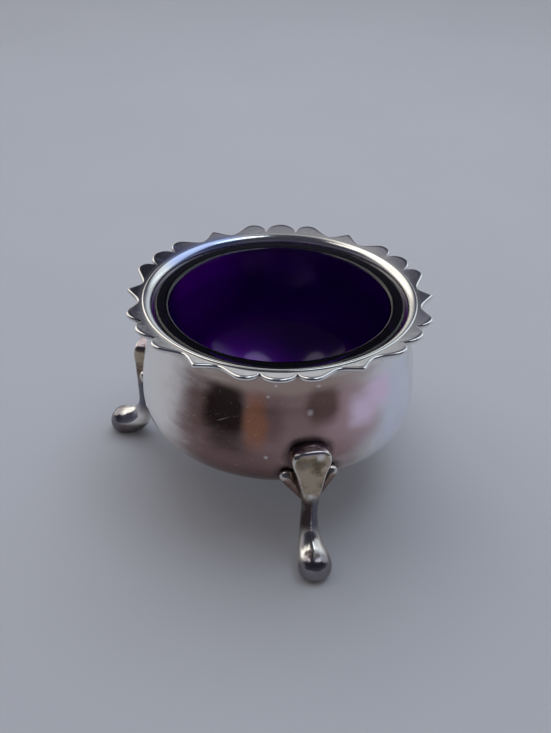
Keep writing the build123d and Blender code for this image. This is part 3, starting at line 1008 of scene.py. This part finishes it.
# %% [markdown]
# ## Floor, light and camera
#
# The cellar stands on a plain pale floor. Polished silver shows its surroundings more than itself, so the light is
# a product studio's: a dim surround with a bright window on each side and a pale top, two small round boxes overhead
# that glint in the glass, and one large box that only lights the floor, kept out of the silver's reflections so that
# it doesn't turn white. Between the back's pale foot and the pale top the surround stays dark, because that is what
# the flat rim of the glass mirrors. One surround can't be right for a mirror and a matt floor at once, so it asks
# what kind of ray has come in: the floor gets an even dome, which leaves only soft shadows, and what lies behind the
# floor is as plain as the far floor, so that no line parts them. The camera is placed by its height, distance and
# tilt. The plain view transform keeps the colours as they are mixed here.

# %% Floor
FLOOR_SIZE = 12000.0
FLOOR_BLOTCH, FLOOR_ROUGHNESS = 60.0, 0.75
PALE = (0.55, 0.585, 0.69, 1.0)
WORN = (0.60, 0.635, 0.74, 1.0)


def make_floor():
    """A pale matt floor under the feet."""
    bm = bmesh.new()
    bmesh.ops.create_grid(bm, x_segments=1, y_segments=1, size=FLOOR_SIZE * MM / 2)
    mesh = bpy.data.meshes.new("floor")
    bm.to_mesh(mesh)
    bm.free()
    floor = bpy.data.objects.new("floor", mesh)
    bpy.context.scene.collection.objects.link(floor)
    material, graph = new_material("pale_floor")
    colour = tint(PALE, WORN, blotches(point_in_mm(graph), FLOOR_BLOTCH, seed=60.0))
    shader = graph.node("BsdfPrincipled", None, {"Base Color": colour, "Roughness": FLOOR_ROUGHNESS})
    graph.node("OutputMaterial", None, {"Surface": shader})
    shade(floor, material)


make_floor()
print(f"floor of {FLOOR_SIZE * MM:.0f} m")

# %% Surround
def direction_at(turn, rise):
    """The direction at degrees round from the front, to the right, and degrees up."""
    level = math.cos(math.radians(rise))
    turn = math.radians(turn)
    return Vector((level * math.sin(turn), -level * math.cos(turn), math.sin(math.radians(rise))))


WINDOWS = [direction_at(-130, 38), direction_at(124, 40)]
WINDOW_EDGE, WINDOW_CORE = math.cos(math.radians(36)), math.cos(math.radians(20))
WARM, COOL = (1.0, 0.98, 0.95, 1.0), (0.80, 0.90, 1.0, 1.0)
NIGHT, HEARTH = (0.68, 0.70, 1.0, 1.0), (1.0, 0.93, 0.83, 1.0)
FAR_FLOOR = (0.88, 0.91, 1.0, 1.0)
DIM = 0.06               # how bright the surround is where nothing else is
BAND, BACK_BAND = 0.25, 0.12     # what a band along the horizon adds, all round and again at the back
FRONT_SHADE = 0.8        # how much of that band the front lacks
BACK, TOP, LEFT, RIGHT = 0.2, 0.3, 1.0, 0.78     # what the back's foot, the top and the windows add
DOME = 0.29              # how bright the surround is for the floor, the same all round
BACKDROP = 0.25          # how bright it is behind the floor


def make_surround():
    """A dim surround with a warm window on the left, a cool one on the right, a pale top and a dark front."""
    world = bpy.data.worlds.new("surround")
    world.use_nodes = True
    world.node_tree.nodes.clear()
    graph = Signal(world.node_tree)
    towards = graph.node("TexCoord", output="Generated")
    facing = [
        graph.node("VectorMath", {"operation": "DOT_PRODUCT"}, {0: towards, 1: window}, output="Value")
        for window in WINDOWS]
    left, right = (ramp(cosine, WINDOW_EDGE, WINDOW_CORE) for cosine in facing)
    x, y, z = (graph.node("SeparateXYZ", None, {0: towards}, output=name) for name in "XYZ")
    band = (1 - ramp(z, 0.1, 0.5)) * (1 - FRONT_SHADE * ramp(0 - y, 0.1, 0.6))
    back = ramp(y, 0.2, 0.6) * (1 - ramp(z, 0.3, 0.55))
    top = ramp(z, 0.6, 0.84) * ramp(y, 0.0, 0.45)
    strength = DIM + (BAND + BACK_BAND * back) * band + BACK * back + TOP * top + LEFT * left + RIGHT * right
    colour = tint(NIGHT, tint(WARM, COOL, ramp(x, -0.4, 0.4)), ramp(strength, 0.1, 0.45))
    on_floor = graph.node("LightPath", output="Is Diffuse Ray")
    behind = graph.node("LightPath", output="Is Camera Ray")
    strength = strength * (1 - on_floor - behind) + DOME * on_floor + BACKDROP * behind
    colour = tint(tint(colour, HEARTH, on_floor), FAR_FLOOR, behind)
    light = graph.node("Background", None, {"Color": colour, "Strength": strength})
    graph.node("OutputWorld", None, {"Surface": light})
    bpy.context.scene.world = world


make_surround()
print(len(WINDOWS), "windows in the surround")

# %% Soft boxes
def soft_box(name, turn, rise, distance, size, power, colour, glints=True):
    """A round light over the cellar that faces it."""
    data = bpy.data.lights.new(name, "AREA")
    data.shape = "DISK"
    data.size = size * MM
    data.energy = power
    data.color = colour
    light = bpy.data.objects.new(name, data)
    towards = direction_at(turn, rise)
    place = Matrix.Translation((axis + towards * distance) * MM)
    light.matrix_world = place @ towards.to_track_quat("Z", "Y").to_matrix().to_4x4()
    light.visible_glossy = glints
    bpy.context.scene.collection.objects.link(light)


soft_box("left_box", turn=-88, rise=61, distance=600, size=190, power=0.09, colour=WARM[:3])
soft_box("right_box", turn=84, rise=73, distance=600, size=250, power=0.27, colour=COOL[:3])
soft_box("floor_box", turn=176, rise=64, distance=560, size=560, power=0.92, colour=(0.95, 0.97, 1.0), glints=False)
bpy.context.scene.view_settings.view_transform = "Standard"
print("boxes:", ", ".join(light.name for light in bpy.data.lights))

# %% Camera
CAMERA_PLACE = Vector((-0.6, -171.1, 141.4))     # from the foot of the bowl's axis
CAMERA_DOWN = 34.19      # degrees below level
CAMERA_ROLL = 1.18
LENS = 46.6


def make_camera():
    """A camera in front of the cellar, looking down into it."""
    data = bpy.data.cameras.new("camera")
    data.lens = LENS
    camera = bpy.data.objects.new("camera", data)
    aim = Matrix.Rotation(math.radians(90 - CAMERA_DOWN), 4, "X") @ Matrix.Rotation(math.radians(CAMERA_ROLL), 4, "Z")
    camera.matrix_world = Matrix.Translation((axis + CAMERA_PLACE) * MM) @ aim
    bpy.context.scene.collection.objects.link(camera)
    bpy.context.scene.camera = camera


make_camera()
print(f"camera {CAMERA_PLACE.length:.0f} mm from the foot of the bowl's axis")
